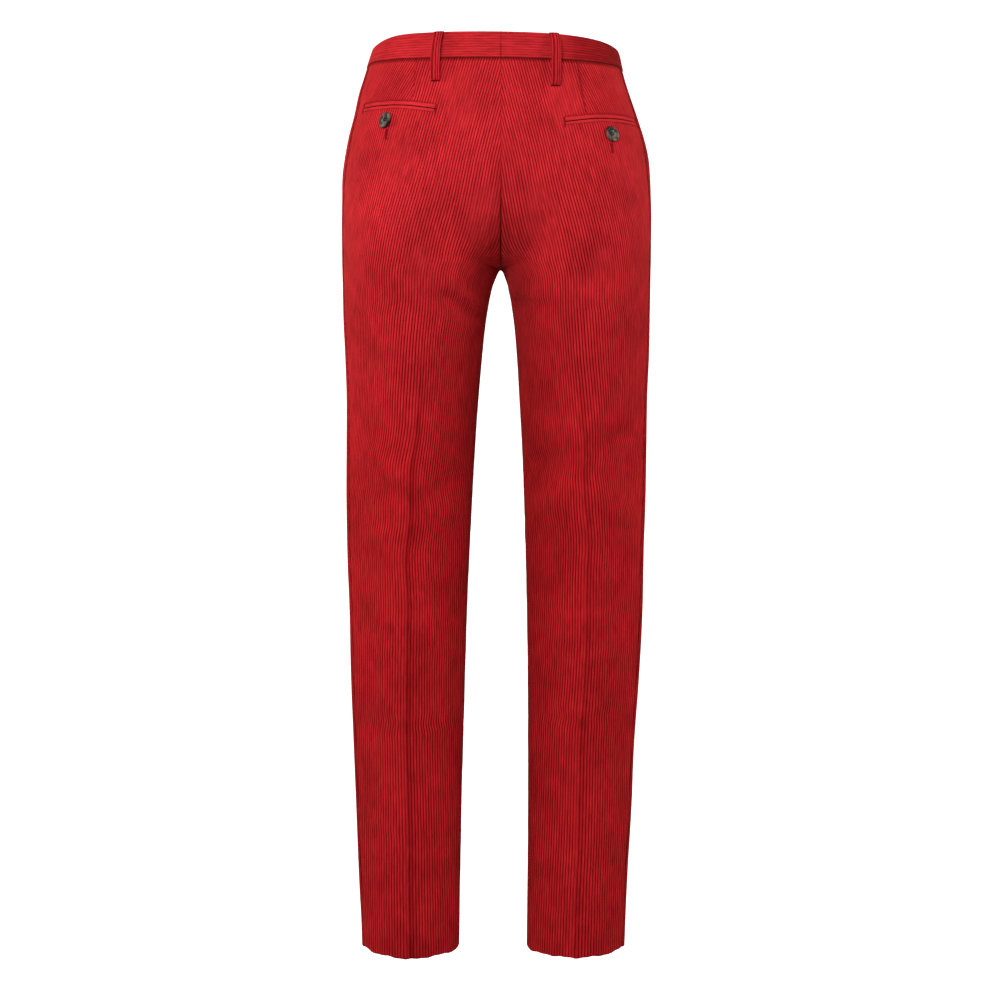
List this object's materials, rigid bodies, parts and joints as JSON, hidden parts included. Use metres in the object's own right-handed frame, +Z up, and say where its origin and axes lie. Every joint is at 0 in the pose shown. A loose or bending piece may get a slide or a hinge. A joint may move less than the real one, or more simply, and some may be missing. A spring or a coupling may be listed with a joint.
{
  "type": "trousers",
  "caption": "Straight-legged corduroy trousers filled out hollow as if worn, with a waistband, belt loops, jetted back pockets with buttons and slanted front pockets.",
  "frame": {"origin": "middle of the waist, half way up the waistband at the centre back", "axes": "+Z up towards the waistband, -Y out of the front, +X towards the wearer's left"},
  "size_m": [0.372, 0.2556, 1.0816],
  "materials": {
    "corduroy": "matte red cotton corduroy with upright wales",
    "horn": "dark horn, lightly polished"
  },
  "bodies": {
    "root": {"back_left": "corduroy", "back_right": "corduroy", "front_left": "corduroy", "front_right": "corduroy", "waistband_left": "corduroy", "waistband_right": "corduroy", "belt_loop_back_left": "corduroy", "belt_loop_back_right": "corduroy", "belt_loop_side_left": "corduroy", "belt_loop_side_right": "corduroy", "belt_loop_front_left": "corduroy", "belt_loop_front_right": "corduroy", "pocket_jet_upper_left": "corduroy", "pocket_jet_lower_left": "corduroy", "pocket_jet_upper_right": "corduroy", "pocket_jet_lower_right": "corduroy", "front_pocket_edge_left": "corduroy", "front_pocket_edge_right": "corduroy", "fly": "corduroy", "button_back_left": "horn", "button_back_right": "horn", "button_waist": "horn"}
  },
  "joints": []
}
